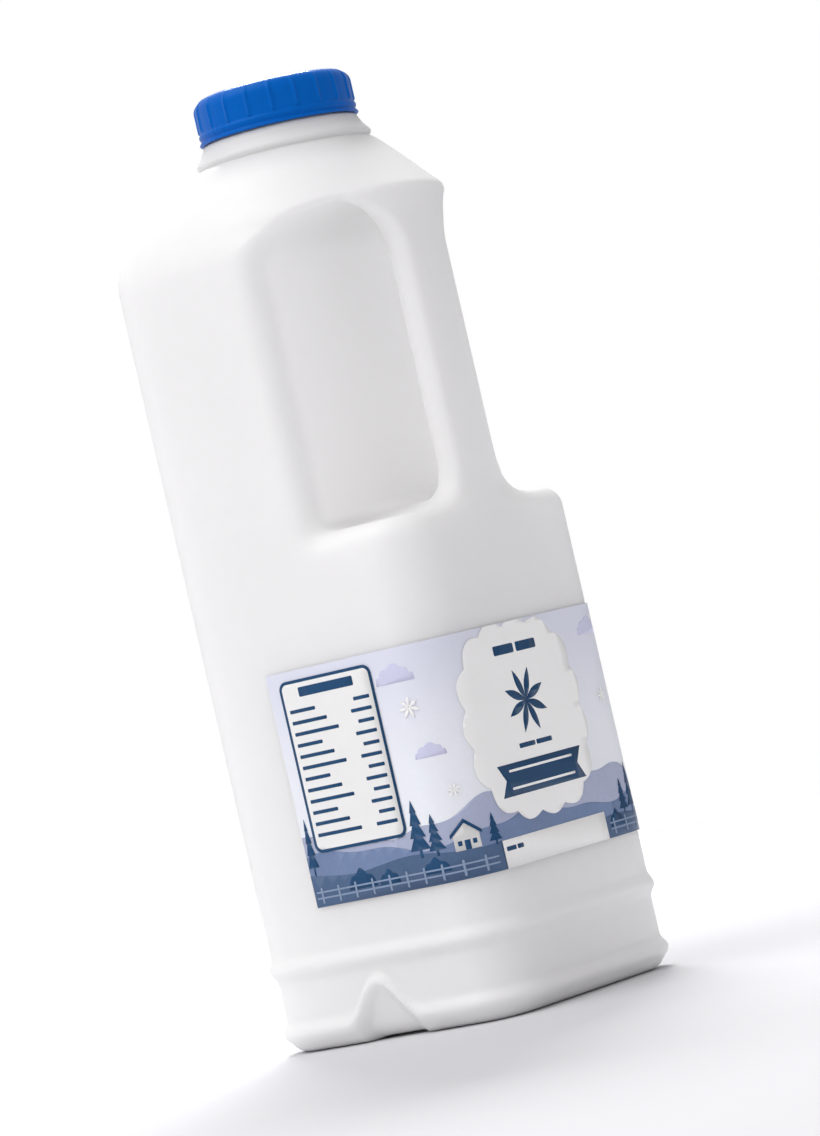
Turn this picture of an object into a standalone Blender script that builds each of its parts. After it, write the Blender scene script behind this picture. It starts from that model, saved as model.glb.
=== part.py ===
"""Milk bottle of one litre with a grip handle, a screw cap and a wrap label.

The bottle stands on z = 0 with its axis on the Z axis. The handle is on the -Y side and the
info panel of the label on the -X side. The shut bottle is solid inside. Lengths are in metres.
"""
import math
from collections import namedtuple

import bmesh
import bpy
import numpy as np

MM = 0.001
GAP = 0.3 * MM

# Body: a square section with rounded corners and slightly crowned faces.
HALF = 38.3 * MM
CROWN = 0.8 * MM
CORNER = 12.0 * MM
RING_POINTS = 64
CORNER_CROWDING = 0.35

# Base: a rounded foot round a push-up, then two ribs with a waist between them.
FOOT_RADIUS = 4.0 * MM
STAND_WIDTH = 6.0 * MM
PUSH_UP = 4.5 * MM
WAIST_INSET = 0.4 * MM
LOWER_RIB_Z = 5.0 * MM
LOWER_RIB_HALF = 3.4 * MM
LOWER_RIB_PROUD = 1.6 * MM
UPPER_RIB_Z = 21.4 * MM
UPPER_RIB_HALF = 3.5 * MM
UPPER_RIB_PROUD = 1.6 * MM
BODY_FOOT_Z = 25.2 * MM

# Arches: on the two side faces the lower rib climbs over a shallow pocket.
ARCH_HALF_WIDTH = 12.0 * MM
ARCH_RISE = 10.0 * MM
ARCH_BAR_RADIUS = 2.3 * MM
ARCH_BAR_PROUD = 1.2 * MM
POCKET_DROP = 4.4 * MM
POCKET_TOP_DEPTH = 0.4 * MM
POCKET_FOOT_DEPTH = 5.0 * MM
POCKET_TAPER = 0.7
CHANNEL_HALF_WIDTH = 10.0 * MM
CHANNEL_HEIGHT = 1.8 * MM

# Grip: below the shoulder the front is cut back to a flat floor, with a bar in front of it. The
# body ends below the floor in a step with a round edge, which rises a little over STEP_RUN.
STEP_TOP_Z = 126.2 * MM
STEP_EDGE = 4.8 * MM
STEP_FOOT_Z = STEP_TOP_Z - STEP_EDGE
STEP_RUN = 1.0 * MM
FLOOR_DEPTH = 10.7 * MM
FLOOR_CORNER = 6.1 * MM
CEILING_FOOT_Z = 189.0 * MM
RIM_Z = 205.8 * MM
BAR_HALF_WIDTH = 9.3 * MM
BAR_FRONT = 39.1 * MM
BAR_REAR = 29.8 * MM
BAR_CORNER = 4.2 * MM
BAR_FOOT_Z = 117.0 * MM
BAR_TOP_Z = 206.6 * MM
BAR_FOOT_FLARE = 9.0 * MM
BAR_FOOT_FLARE_Z = (125.0 * MM, 139.0 * MM)
BAR_TOP_FLARE = 4.0 * MM
BAR_TOP_FLARE_Z = (192.0 * MM, 206.6 * MM)
BAR_REAR_FLARE_SHARE = 0.5
BAR_SINK = 2.2 * MM
BAR_SINK_Z = 198.6 * MM
BAR_POINTS = 28

# Shoulder: from the rim and the square body up to the round neck.
SHOULDER_FOOT_Z = 197.5 * MM
SHOULDER_TOP_Z = 222.6 * MM
SHOULDER_TOP_RADIUS = 22.7 * MM
SHOULDER_FULLNESS = 1.5
RIM_FRONT = 37.8 * MM
RIM_CONE_FULLNESS = 1.1

# Neck, with a flared bead below the cap.
BEAD_Z = 224.2 * MM
BEAD_RADIUS = 22.7 * MM
CREASE_RADIUS = 21.9 * MM
LEDGE_Z = 229.1 * MM
LEDGE_RADIUS = 19.9 * MM
NECK_RADIUS = 18.2 * MM
NECK_TOP_Z = 239.0 * MM

# Cap, with thin upright ribs between flat panels.
CAP_RIBS = 20
CAP_RADIUS = 20.1 * MM
CAP_RIM_RADIUS = 20.7 * MM
CAP_RIB_PROUD = 0.4 * MM
CAP_RIB_CREST = math.radians(1.0)
CAP_RIB_FOOT = math.radians(2.1)
CAP_SKIRT_Z = 232.6 * MM
CAP_TOP_Z = 241.2 * MM
CAP_TOP_ROUNDING = 3.6 * MM
CAP_DISH_RADIUS = 15.0 * MM
CAP_DISH_DEPTH = 0.4 * MM

# Label: a thin skin from the side face round the near corner to the other side face.
LABEL_FOOT_Z = 35.4 * MM
LABEL_TOP_Z = 94.6 * MM
LABEL_THICKNESS = 0.2 * MM
LABEL_PANEL_END_Y = 12.9 * MM
LABEL_FAR_END_Y = -0.6 * MM

# One level of a lofted solid: front is the reach towards -Y, back the reach towards +Y.
Level = namedtuple("Level", "z half front back front_corner back_corner front_crown crown")


def share(z, low, high):
    """How far z has come from low to high, from 0 to 1."""
    return min(1.0, max(0.0, (z - low) / (high - low)))


def eased(z, low, high):
    """The same, with a soft start and end."""
    t = share(z, low, high)
    return t * t * (3 - 2 * t)


def quarter_turn(z, low, high):
    """The same along a quarter of a circle: it starts flat and ends upright."""
    t = share(z, low, high)
    return 1 - math.sqrt(1 - t * t)


def mix(a, b, t):
    return a + (b - a) * t


def hump(distance, half_width):
    """A round hump of height 1 that ends at half_width."""
    t = min(1.0, abs(distance) / half_width)
    return 0.5 + 0.5 * math.cos(math.pi * t)


def rib_offset(z):
    """How far the ribs, the waist and the rounded foot move the wall outwards at a height."""
    offset = UPPER_RIB_PROUD * hump(z - UPPER_RIB_Z, UPPER_RIB_HALF)
    offset += LOWER_RIB_PROUD * hump(z - LOWER_RIB_Z, LOWER_RIB_HALF)
    offset -= WAIST_INSET * (1 - eased(z, UPPER_RIB_Z, BODY_FOOT_Z))
    if z < FOOT_RADIUS:
        offset -= FOOT_RADIUS - math.sqrt(FOOT_RADIUS ** 2 - (FOOT_RADIUS - z) ** 2)
    return offset


def front_depth(z):
    """Reach of the front: full up to the step's round edge, the grip's floor, the rim, then the cone."""
    if z <= STEP_TOP_Z:
        return HALF - STEP_EDGE * quarter_turn(z, STEP_FOOT_Z, STEP_TOP_Z)
    if z < RIM_Z:
        return mix(FLOOR_DEPTH, RIM_FRONT, quarter_turn(z, CEILING_FOOT_Z, RIM_Z))
    return mix(SHOULDER_TOP_RADIUS, RIM_FRONT, share(z, SHOULDER_TOP_Z, RIM_Z) ** RIM_CONE_FULLNESS)


def shoulder_width(z):
    """Reach of a side face or of the back: the body's, domed over to the neck."""
    rise = share(z, SHOULDER_FOOT_Z, SHOULDER_TOP_Z)
    dome = (1 - rise ** SHOULDER_FULLNESS) ** (1 / SHOULDER_FULLNESS)
    return mix(SHOULDER_TOP_RADIUS, HALF, dome)


def body_level(z):
    """The bottle's section at a height between the floor and the top of the shoulder."""
    offset = rib_offset(z)
    half = shoulder_width(z)
    front = front_depth(z)
    rise = share(z, SHOULDER_FOOT_Z, SHOULDER_TOP_Z)
    back_corner = mix(CORNER, SHOULDER_TOP_RADIUS, rise ** 3)
    if z <= STEP_TOP_Z:
        front_corner = CORNER
    else:
        front_corner = mix(FLOOR_CORNER, half, quarter_turn(z, CEILING_FOOT_Z, RIM_Z))
    front_crown = CROWN if z <= STEP_TOP_Z else 0.0
    crown = CROWN * (1 - rise)
    return Level(z, half + offset, front + offset, half + offset, front_corner, back_corner, front_crown, crown)


def bar_level(z):
    """The handle bar's section: it flares out at both ends, and its front is flush with the face."""
    foot_low, foot_high = BAR_FOOT_FLARE_Z
    flare = BAR_FOOT_FLARE * quarter_turn(z, foot_high, foot_low)
    flare += BAR_TOP_FLARE * quarter_turn(z, *BAR_TOP_FLARE_Z)
    sink = BAR_SINK * (eased(z, BAR_SINK_Z, BAR_TOP_Z) + eased(z, STEP_FOOT_Z, BAR_FOOT_Z))
    half = BAR_HALF_WIDTH + flare
    back = BAR_REAR_FLARE_SHARE * flare - BAR_REAR
    return Level(z, half, BAR_FRONT - sink, back, BAR_CORNER, BAR_CORNER, 0.0, 0.0)


def ring_angles(count):
    """Angles round a section, closer together at its four corners."""
    turn = np.arange(count) * 2 * math.pi / count
    return turn + CORNER_CROWDING * np.sin(4 * turn) / 4


def section_distance(x, y, half, depth, front_corner, back_corner):
    """Signed distance to a rounded rectangle centred on the origin, with its front at -Y."""
    corner = np.where(y < 0, front_corner, back_corner)
    across = np.abs(x) - half + corner
    along = np.abs(y) - depth + corner
    outside = np.hypot(np.maximum(across, 0), np.maximum(along, 0))
    return outside + np.minimum(np.maximum(across, along), 0) - corner


def section_points(level, count, grow=0.0):
    """Points round one level, each where a ray from its middle leaves the section."""
    half = level.half + grow
    depth = (level.front + level.back) / 2 + grow
    middle = (level.back - level.front) / 2
    limit = min(half, depth) * 0.999
    front_corner = min(level.front_corner + grow, limit)
    back_corner = min(level.back_corner + grow, limit)
    turn = ring_angles(count)
    ray = np.stack([half * np.cos(turn), depth * np.sin(turn)])
    ray = ray / np.hypot(ray[0], ray[1])
    low = np.zeros(count)
    high = np.full(count, 2 * (half + depth))
    for _ in range(40):
        reach = (low + high) / 2
        inside = section_distance(ray[0] * reach, ray[1] * reach, half, depth, front_corner, back_corner) < 0
        low = np.where(inside, reach, low)
        high = np.where(inside, high, reach)
    x = ray[0] * low
    y = ray[1] * low + middle
    side_bulge = level.crown * np.maximum(0, 1 - (y / HALF) ** 2)
    face_bulge = np.where(y < 0, level.front_crown, level.crown) * np.maximum(0, 1 - (x / HALF) ** 2)
    x = x * (1 + side_bulge / HALF)
    y = y * (1 + face_bulge / HALF)
    return [(across, along, level.z) for across, along in zip(x, y)]


def add_object(name, bm, material):
    """Close the books on a mesh: faces point out, smooth except at sharp edges."""
    bmesh.ops.recalc_face_normals(bm, faces=bm.faces)
    mesh = bpy.data.meshes.new(name)
    bm.to_mesh(mesh)
    bm.free()
    mesh.shade_smooth()
    mesh.set_sharp_from_angle(angle=math.radians(35))
    piece = bpy.data.objects.new(name, mesh)
    bpy.context.scene.collection.objects.link(piece)
    if material is not None:
        mesh.materials.append(material)
    return piece


def loft(name, rings, material=None):
    """A closed solid through rings of equal count, with a flat face over each end."""
    bm = bmesh.new()
    loops = [[bm.verts.new(point) for point in ring] for ring in rings]
    for lower, upper in zip(loops, loops[1:]):
        for index in range(len(lower)):
            after = (index + 1) % len(lower)
            bm.faces.new((lower[index], lower[after], upper[after], upper[index]))
    bm.faces.new(loops[0])
    bm.faces.new(loops[-1])
    return add_object(name, bm, material)


def round_ring(radius, z, count):
    """A circle whose points stand on the same rays as those of the body's section."""
    return [(radius * math.cos(turn), radius * math.sin(turn), z) for turn in ring_angles(count)]


def principled(name, color, roughness):
    material = bpy.data.materials.new(name)
    material.use_nodes = True
    shader = material.node_tree.nodes["Principled BSDF"]
    shader.inputs["Base Color"].default_value = (*color, 1.0)
    shader.inputs["Roughness"].default_value = roughness
    shader.inputs["Metallic"].default_value = 0.0
    return material


def as_guide(piece):
    """Mark an object as a shape that only cuts or joins another."""
    piece.hide_render = True
    piece.display_type = "WIRE"
    return piece


def boolean(piece, operation, guides):
    """Join or cut a piece with each guide in turn."""
    for guide in guides:
        modifier = piece.modifiers.new(guide.name, "BOOLEAN")
        modifier.operation = operation
        modifier.solver = "EXACT"
        modifier.object = guide


def arch_height(y):
    """Height of the middle of the lower rib where it climbs over a pocket."""
    return LOWER_RIB_Z + ARCH_RISE * hump(y, ARCH_HALF_WIDTH)


def arch_bar(name, side):
    """The raised bar over a pocket, swept along the arch. side is -1 or 1."""
    face = HALF + CROWN - WAIST_INSET
    middle_x = side * (face + ARCH_BAR_PROUD - ARCH_BAR_RADIUS)
    rings = []
    for y in np.linspace(-1.15, 1.15, 19) * ARCH_HALF_WIDTH:
        slope = (arch_height(y + MM) - arch_height(y - MM)) / (2 * MM)
        lean = math.atan(slope)
        ring = []
        for turn in np.linspace(0, 2 * math.pi, 10, endpoint=False):
            out = ARCH_BAR_RADIUS * math.cos(turn)
            up = ARCH_BAR_RADIUS * math.sin(turn)
            ring.append((middle_x + out, y - up * math.sin(lean), arch_height(y) + up * math.cos(lean)))
        rings.append(ring)
    return as_guide(loft(name, rings))


def arch_pocket(name, side):
    """The cutter for the pocket under an arch: it leans in towards the floor, and is open there."""
    face = HALF + CROWN - WAIST_INSET
    ys = np.linspace(-0.96, 0.96, 15) * ARCH_HALF_WIDTH
    outline = [(y, arch_height(y) - POCKET_DROP) for y in ys]
    outline += [(ys[-1], -CHANNEL_HEIGHT), (ys[0], -CHANNEL_HEIGHT)]
    apex = arch_height(0) - POCKET_DROP
    inner = []
    for y, z in outline:
        depth = mix(POCKET_FOOT_DEPTH, POCKET_TOP_DEPTH, z / apex)
        inner.append((side * (face - depth), POCKET_TAPER * y, z))
    outer = [(side * (face + 2 * POCKET_FOOT_DEPTH), y, z) for y, z in outline]
    return as_guide(loft(name, [inner, outer]))


def channel(name):
    """The cutter that lifts the foot between the two pockets."""
    reach = HALF + 2 * POCKET_FOOT_DEPTH
    rings = []
    for z, half in ((-CHANNEL_HEIGHT, CHANNEL_HALF_WIDTH), (CHANNEL_HEIGHT, CHANNEL_HALF_WIDTH - CHANNEL_HEIGHT)):
        rings.append([(-reach, -half, z), (reach, -half, z), (reach, half, z), (-reach, half, z)])
    return as_guide(loft(name, rings))


def heights(*stretches):
    """Heights of the rings: each stretch is (from, to, steps), both ends taken once."""
    levels = []
    for low, high, steps in stretches:
        levels += [mix(low, high, step / steps) for step in range(steps)]
    return levels + [stretches[-1][1]]


def bottle(material):
    """Body, shoulder and neck, with the handle bar joined on and the arches cut in."""
    foot = body_level(0.0)
    rings = [
        section_points(foot._replace(z=PUSH_UP), RING_POINTS, -STAND_WIDTH * 3.2),
        section_points(foot._replace(z=PUSH_UP * 0.8), RING_POINTS, -STAND_WIDTH * 1.9),
        section_points(foot, RING_POINTS, -STAND_WIDTH),
    ]
    zs = heights(
        (0.0, FOOT_RADIUS, 4),
        (FOOT_RADIUS, LOWER_RIB_Z + LOWER_RIB_HALF, 4),
        (LOWER_RIB_Z + LOWER_RIB_HALF, UPPER_RIB_Z - UPPER_RIB_HALF, 1),
        (UPPER_RIB_Z - UPPER_RIB_HALF, BODY_FOOT_Z, 8),
        (BODY_FOOT_Z, STEP_FOOT_Z, 3),
        (STEP_FOOT_Z, STEP_TOP_Z, 6),
        (STEP_TOP_Z, STEP_TOP_Z + STEP_RUN, 1),
        (STEP_TOP_Z + STEP_RUN, CEILING_FOOT_Z, 3),
        (CEILING_FOOT_Z, RIM_Z, 10),
        (RIM_Z, SHOULDER_TOP_Z, 8),
    )
    rings += [section_points(body_level(z), RING_POINTS) for z in zs]
    rings += [
        round_ring(CREASE_RADIUS, SHOULDER_TOP_Z + 0.6 * MM, RING_POINTS),
        round_ring(BEAD_RADIUS, BEAD_Z - 0.4 * MM, RING_POINTS),
        round_ring(BEAD_RADIUS, BEAD_Z + 0.4 * MM, RING_POINTS),
        round_ring(mix(BEAD_RADIUS, LEDGE_RADIUS, 0.55), mix(BEAD_Z, LEDGE_Z, 0.45), RING_POINTS),
        round_ring(LEDGE_RADIUS, LEDGE_Z, RING_POINTS),
        round_ring(NECK_RADIUS, LEDGE_Z, RING_POINTS),
        round_ring(NECK_RADIUS, NECK_TOP_Z, RING_POINTS),
    ]
    piece = loft("bottle", rings, material)
    foot_low, foot_high = BAR_FOOT_FLARE_Z
    bar_zs = heights(
        (BAR_FOOT_Z, foot_low, 4),
        (foot_low, foot_high, 8),
        (foot_high, BAR_TOP_FLARE_Z[0], 2),
        (BAR_TOP_FLARE_Z[0], BAR_TOP_Z, 7),
    )
    bar = as_guide(loft("bar_join", [section_points(bar_level(z), BAR_POINTS) for z in bar_zs]))
    boolean(piece, "UNION", [bar])
    pockets = [arch_pocket("pocket_cut_left", -1), arch_pocket("pocket_cut_right", 1)]
    boolean(piece, "DIFFERENCE", pockets + [channel("channel_cut")])
    boolean(piece, "UNION", [arch_bar("arch_join_left", -1), arch_bar("arch_join_right", 1)])
    return piece


def cap_ring(radius, z, rib=0.0):
    """One ring of the cap, with a crest of the given height on each of its ribs."""
    points = []
    for index in range(CAP_RIBS):
        middle = index * 2 * math.pi / CAP_RIBS
        for turn, reach in (
            (middle - CAP_RIB_FOOT, radius),
            (middle - CAP_RIB_CREST, radius + rib),
            (middle + CAP_RIB_CREST, radius + rib),
            (middle + CAP_RIB_FOOT, radius),
        ):
            points.append((reach * math.cos(turn), reach * math.sin(turn), z))
    return points


def cap(material):
    """The screw cap, a shell over the neck, from its inner ceiling out round the rim to its top."""
    inner = NECK_RADIUS + GAP
    foot = LEDGE_Z + GAP
    rings = [
        cap_ring(inner, NECK_TOP_Z + GAP),
        cap_ring(inner, foot),
        cap_ring(CAP_RIM_RADIUS, foot),
        cap_ring(CAP_RIM_RADIUS, foot + 0.8 * MM),
        cap_ring(CAP_RADIUS, foot + 1.5 * MM),
        cap_ring(CAP_RADIUS + CAP_RIB_PROUD, foot + 2.2 * MM),
        cap_ring(CAP_RADIUS, CAP_SKIRT_Z),
        cap_ring(CAP_RADIUS, CAP_SKIRT_Z + 0.3 * MM, CAP_RIB_PROUD),
    ]
    for turn in np.linspace(0, math.pi / 2, 5):
        radius = CAP_RADIUS - CAP_TOP_ROUNDING * (1 - math.cos(turn))
        z = CAP_TOP_Z - CAP_TOP_ROUNDING * (1 - math.sin(turn))
        rings.append(cap_ring(radius, z, CAP_RIB_PROUD * math.cos(turn)))
    rings.append(cap_ring(CAP_DISH_RADIUS, CAP_TOP_Z))
    rings.append(cap_ring(CAP_DISH_RADIUS - 2 * CAP_DISH_DEPTH, CAP_TOP_Z - CAP_DISH_DEPTH))
    return loft("cap", rings, material)


def label(material):
    """The wrap label: a strip that follows the section from one side face to the other."""
    level = body_level((LABEL_FOOT_Z + LABEL_TOP_Z) / 2)
    inner = section_points(level, 2 * RING_POINTS, GAP)
    outer = section_points(level, 2 * RING_POINTS, GAP + LABEL_THICKNESS)

    def on_label(point):
        end = LABEL_PANEL_END_Y if point[0] < 0 else LABEL_FAR_END_Y
        return point[1] < end

    kept = [index for index, point in enumerate(outer) if on_label(point)]
    bm = bmesh.new()
    columns = []
    for index in kept:
        corners = []
        for points, z in ((inner, LABEL_FOOT_Z), (outer, LABEL_FOOT_Z), (outer, LABEL_TOP_Z), (inner, LABEL_TOP_Z)):
            corners.append(bm.verts.new((points[index][0], points[index][1], z)))
        columns.append(corners)
    for left, right in zip(columns, columns[1:]):
        for side in range(4):
            after = (side + 1) % 4
            bm.faces.new((left[side], right[side], right[after], left[after]))
    bm.faces.new(columns[0])
    bm.faces.new(columns[-1])
    return add_object("label", bm, material)


def main():
    for old in list(bpy.data.objects):
        bpy.data.objects.remove(old)
    bottle(principled("bottle_plastic", (0.86, 0.86, 0.86), 0.38))
    cap(principled("cap_plastic", (0.0, 0.10, 0.46), 0.28))
    label(principled("label_film", (0.62, 0.64, 0.76), 0.42))


main()
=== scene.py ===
"""Looks of the one litre milk bottle: fine bottle, ribbed cap, printed wrap label and studio."""

import math

import bmesh
import bpy
import numpy as np
from mathutils import Matrix, Vector, geometry


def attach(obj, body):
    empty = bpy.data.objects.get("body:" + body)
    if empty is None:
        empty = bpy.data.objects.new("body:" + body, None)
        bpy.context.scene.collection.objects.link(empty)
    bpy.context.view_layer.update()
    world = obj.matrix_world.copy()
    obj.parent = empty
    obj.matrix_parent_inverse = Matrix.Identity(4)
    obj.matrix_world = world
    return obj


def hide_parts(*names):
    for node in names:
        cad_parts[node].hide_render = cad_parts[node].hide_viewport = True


bl_info = {
    "name": "Milk Bottle Looks",
    "version": (1, 0, 0),
    "blender": (4, 5, 0),
    "location": "View3D > Sidebar > Milk Bottle",
    "description": "Builds the fine surfaces and finishes of a milk bottle round its frame",
    "category": "Object",
}

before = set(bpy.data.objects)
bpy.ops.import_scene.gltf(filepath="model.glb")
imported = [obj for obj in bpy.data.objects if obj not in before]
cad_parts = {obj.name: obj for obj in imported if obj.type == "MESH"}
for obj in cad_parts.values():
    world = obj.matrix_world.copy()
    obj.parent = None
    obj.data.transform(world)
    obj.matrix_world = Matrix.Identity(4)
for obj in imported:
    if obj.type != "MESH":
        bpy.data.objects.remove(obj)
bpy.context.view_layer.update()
MM = 0.001
BODY = "root"


# Sizes and colours that a user would change


class BottleSizes(bpy.types.PropertyGroup):
    """Sizes of the bottle's body, grip and neck."""

    half: bpy.props.FloatProperty(
        name="Half width", description="Half the width of the square body", default=38.3 * MM, unit="LENGTH")
    crown: bpy.props.FloatProperty(
        name="Crown", description="How far a face bulges in its middle", default=0.8 * MM, unit="LENGTH")
    corner: bpy.props.FloatProperty(
        name="Corner radius", description="Radius of the body's upright corners",
        default=12.0 * MM, unit="LENGTH")
    floor_depth: bpy.props.FloatProperty(
        name="Grip floor", description="Distance of the grip's floor from the axis",
        default=10.7 * MM, unit="LENGTH")
    bar_half: bpy.props.FloatProperty(
        name="Bar half width", description="Half the width of the handle bar",
        default=9.4 * MM, unit="LENGTH")
    bar_rear: bpy.props.FloatProperty(
        name="Bar rear", description="Distance of the bar's rear from the axis",
        default=29.8 * MM, unit="LENGTH")
    rib_proud: bpy.props.FloatProperty(
        name="Rib height", description="How far the two ribs stand proud", default=1.58 * MM, unit="LENGTH")
    fineness: bpy.props.FloatProperty(
        name="Mesh spacing", description="Distance between the points of the fine surface",
        default=0.9 * MM, unit="LENGTH")


class CapSizes(bpy.types.PropertyGroup):
    """Sizes of the screw cap."""

    radius: bpy.props.FloatProperty(
        name="Radius", description="Radius between the ribs", default=20.1 * MM, unit="LENGTH")
    rim_radius: bpy.props.FloatProperty(
        name="Rim radius", description="Radius of the flared lower rim", default=20.7 * MM, unit="LENGTH")
    rib_proud: bpy.props.FloatProperty(
        name="Rib height", description="How far a rib stands proud", default=0.4 * MM, unit="LENGTH")
    ribs: bpy.props.IntProperty(name="Ribs", description="Number of ribs round the cap", default=20)


class LabelSizes(bpy.types.PropertyGroup):
    """Sizes of the wrap label."""

    foot: bpy.props.FloatProperty(
        name="Lower edge", description="Height of the label's lower edge", default=35.4 * MM, unit="LENGTH")
    top: bpy.props.FloatProperty(
        name="Upper edge", description="Height of the label's upper edge", default=94.6 * MM, unit="LENGTH")
    thickness: bpy.props.FloatProperty(
        name="Film", description="Thickness of the film", default=0.2 * MM, unit="LENGTH")


class Finishes(bpy.types.PropertyGroup):
    """Colours of the plastics and of the print."""

    bottle: bpy.props.FloatVectorProperty(
        name="Bottle", description="Colour of the bottle's plastic", subtype="COLOR", size=3,
        default=(0.86, 0.86, 0.855))
    cap: bpy.props.FloatVectorProperty(
        name="Cap", description="Colour of the cap's plastic", subtype="COLOR", size=3,
        default=(0.0, 0.115, 0.50))
    sky: bpy.props.FloatVectorProperty(
        name="Sky", description="Colour of the label's ground", subtype="COLOR", size=3,
        default=(0.86, 0.885, 0.94))
    sky_top: bpy.props.FloatVectorProperty(
        name="Sky's top", description="Colour of the label's ground at its upper edge",
        subtype="COLOR", size=3, default=(0.74, 0.76, 0.87))
    white: bpy.props.FloatVectorProperty(
        name="White", description="Colour of the white fields", subtype="COLOR", size=3,
        default=(0.87, 0.87, 0.86))
    navy: bpy.props.FloatVectorProperty(
        name="Navy", description="Colour of the darkest print", subtype="COLOR", size=3,
        default=(0.004, 0.058, 0.155))


# Helpers for shapes given by functions of place


def share(value, low, high):
    return np.clip((value - low) / (high - low), 0.0, 1.0)


def eased(value, low, high):
    t = share(value, low, high)
    return t * t * (3 - 2 * t)


def quarter_turn(value, low, high):
    t = share(value, low, high)
    return 1 - np.sqrt(1 - t * t)


def mix(a, b, t):
    return a + (b - a) * t


def soft_min(a, b, softness):
    h = np.maximum(softness - np.abs(a - b), 0.0) / softness
    return np.minimum(a, b) - h * h * softness / 4


def hump(distance, half_width):
    return 0.5 + 0.5 * np.cos(math.pi * np.minimum(1.0, np.abs(distance) / half_width))


def round_cut(a, b, radius):
    """What is inside both a and b, with a rounded edge where they meet."""
    a = a + radius
    b = b + radius
    outside = np.hypot(np.maximum(a, 0), np.maximum(b, 0))
    return outside + np.minimum(np.maximum(a, b), 0) - radius


def section(x, y, half, front, back, front_corner, back_corner):
    """Distance to a rounded rectangle that reaches front towards -Y and back towards +Y."""
    depth = (front + back) / 2
    y = y - (back - front) / 2
    limit = np.minimum(half, depth) * 0.999
    corner = np.minimum(np.where(y < 0, front_corner, back_corner), limit)
    across = np.abs(x) - half + corner
    along = np.abs(y) - depth + corner
    outside = np.hypot(np.maximum(across, 0), np.maximum(along, 0))
    return outside + np.minimum(np.maximum(across, along), 0) - corner


# The bottle as one smooth field, negative inside

FOOT_RADIUS = 4.0 * MM
STEP_TOP = 125.9 * MM
STEP_RISE = 3.0 * MM
STEP_RISE_HALF = 26.0 * MM
COVE_FOOT = 190.3 * MM
COVE_DEPTH = 30.0 * MM
RIM = 205.8 * MM
RIM_FRONT = 38.7 * MM
SHOULDER_FOOT = 197.5 * MM
SHOULDER_TOP = 222.6 * MM
NECK_RADIUS = 22.7 * MM
NECK_PROFILE = (
    (221.0, 22.3), (222.6, 22.45), (223.0, 22.0), (223.3, 22.0), (223.8, 22.65), (224.5, 22.7),
    (225.2, 22.2), (226.4, 21.2), (228.0, 20.35), (229.1, 19.9),
)
LEDGE = 229.1 * MM
SPOUT_RADIUS = 18.2 * MM
SPOUT_TOP = 239.0 * MM
ARCH_HALF = 12.0 * MM
ARCH_RISE = 10.0 * MM
LOWER_RIB = 5.0 * MM
UPPER_RIB = 21.4 * MM
RIB_HALF = 3.5 * MM
WAIST_DEPTH = 0.4 * MM
WAIST_TOP = 25.2 * MM
PUSH_UP = 4.5 * MM
ARCH_LIFT = 0.5 * MM

# The bar's section reaches past the body, whose outer form cuts its front
BAR_REACH = 44.0 * MM
BAR_FOOT = 112.0 * MM
BAR_TOP = 210.0 * MM
FOOT_FLARE = 7.0 * MM
FOOT_FLARE_LOW = 125.0 * MM
FOOT_FLARE_HIGH = 139.0 * MM
TOP_FLARE = 16.0 * MM
TOP_FLARE_LOW = 190.0 * MM
TOP_FLARE_HIGH = 206.0 * MM


def arch_line(y):
    return LOWER_RIB + ARCH_RISE * hump(y, ARCH_HALF)


def relief(size, y, z):
    """How far the ribs, the waist and the pockets under the arches move the wall outwards."""
    centre = arch_line(y)
    lifted = eased(centre, LOWER_RIB + 0.2 * MM, LOWER_RIB + 3 * MM)
    offset = size.rib_proud * hump(z - UPPER_RIB, RIB_HALF)
    offset = offset + size.rib_proud * hump(z - centre, mix(3.4 * MM, 3.0 * MM, lifted))
    offset = offset - WAIST_DEPTH * (1 - eased(z, UPPER_RIB, WAIST_TOP))
    depth = mix(2.6 * MM, 0.5 * MM, share(z, 0.0, 11 * MM))
    return offset - depth * lifted * eased(centre - z, 1.6 * MM, 4.4 * MM)


def envelope(size, x, y, z):
    """The bottle's outer form without the grip: square body, domed sides and a cone in front."""
    rise = share(z, SHOULDER_FOOT, SHOULDER_TOP)
    half = mix(NECK_RADIUS, size.half, (1 - rise ** 1.5) ** (1 / 1.5))
    slant = np.maximum(SHOULDER_TOP - z, 0) / (SHOULDER_TOP - RIM)
    cone = NECK_RADIUS + (RIM_FRONT - NECK_RADIUS) * slant ** 1.1
    front = soft_min(size.half, cone, 2 * MM)
    front_corner = mix(size.corner, half, eased(z, 187 * MM, 204 * MM))
    back_corner = mix(size.corner, NECK_RADIUS, rise ** 3)
    crown = size.crown * (1 - rise)
    across = x / (1 + crown * np.maximum(0, 1 - (y / size.half) ** 2) / size.half)
    along = y / (1 + crown * np.maximum(0, 1 - (x / size.half) ** 2) / size.half)
    return section(across, along, half, front, half, front_corner, back_corner) - relief(size, y, z)


def grip_cove(size, y, z):
    """What lies in front of the grip's floor and below its ceiling, positive there."""
    wide = COVE_DEPTH - size.floor_depth
    tall = RIM - COVE_FOOT
    along = np.maximum(COVE_DEPTH + y, 0)
    up = np.maximum(z - COVE_FOOT, 0)
    turn = np.maximum(np.hypot(along / wide, up / tall), 1e-6)
    slope = np.maximum(np.hypot(along / wide ** 2, up / tall ** 2) / turn, 1 / wide)
    return (1 - turn) / slope


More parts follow.
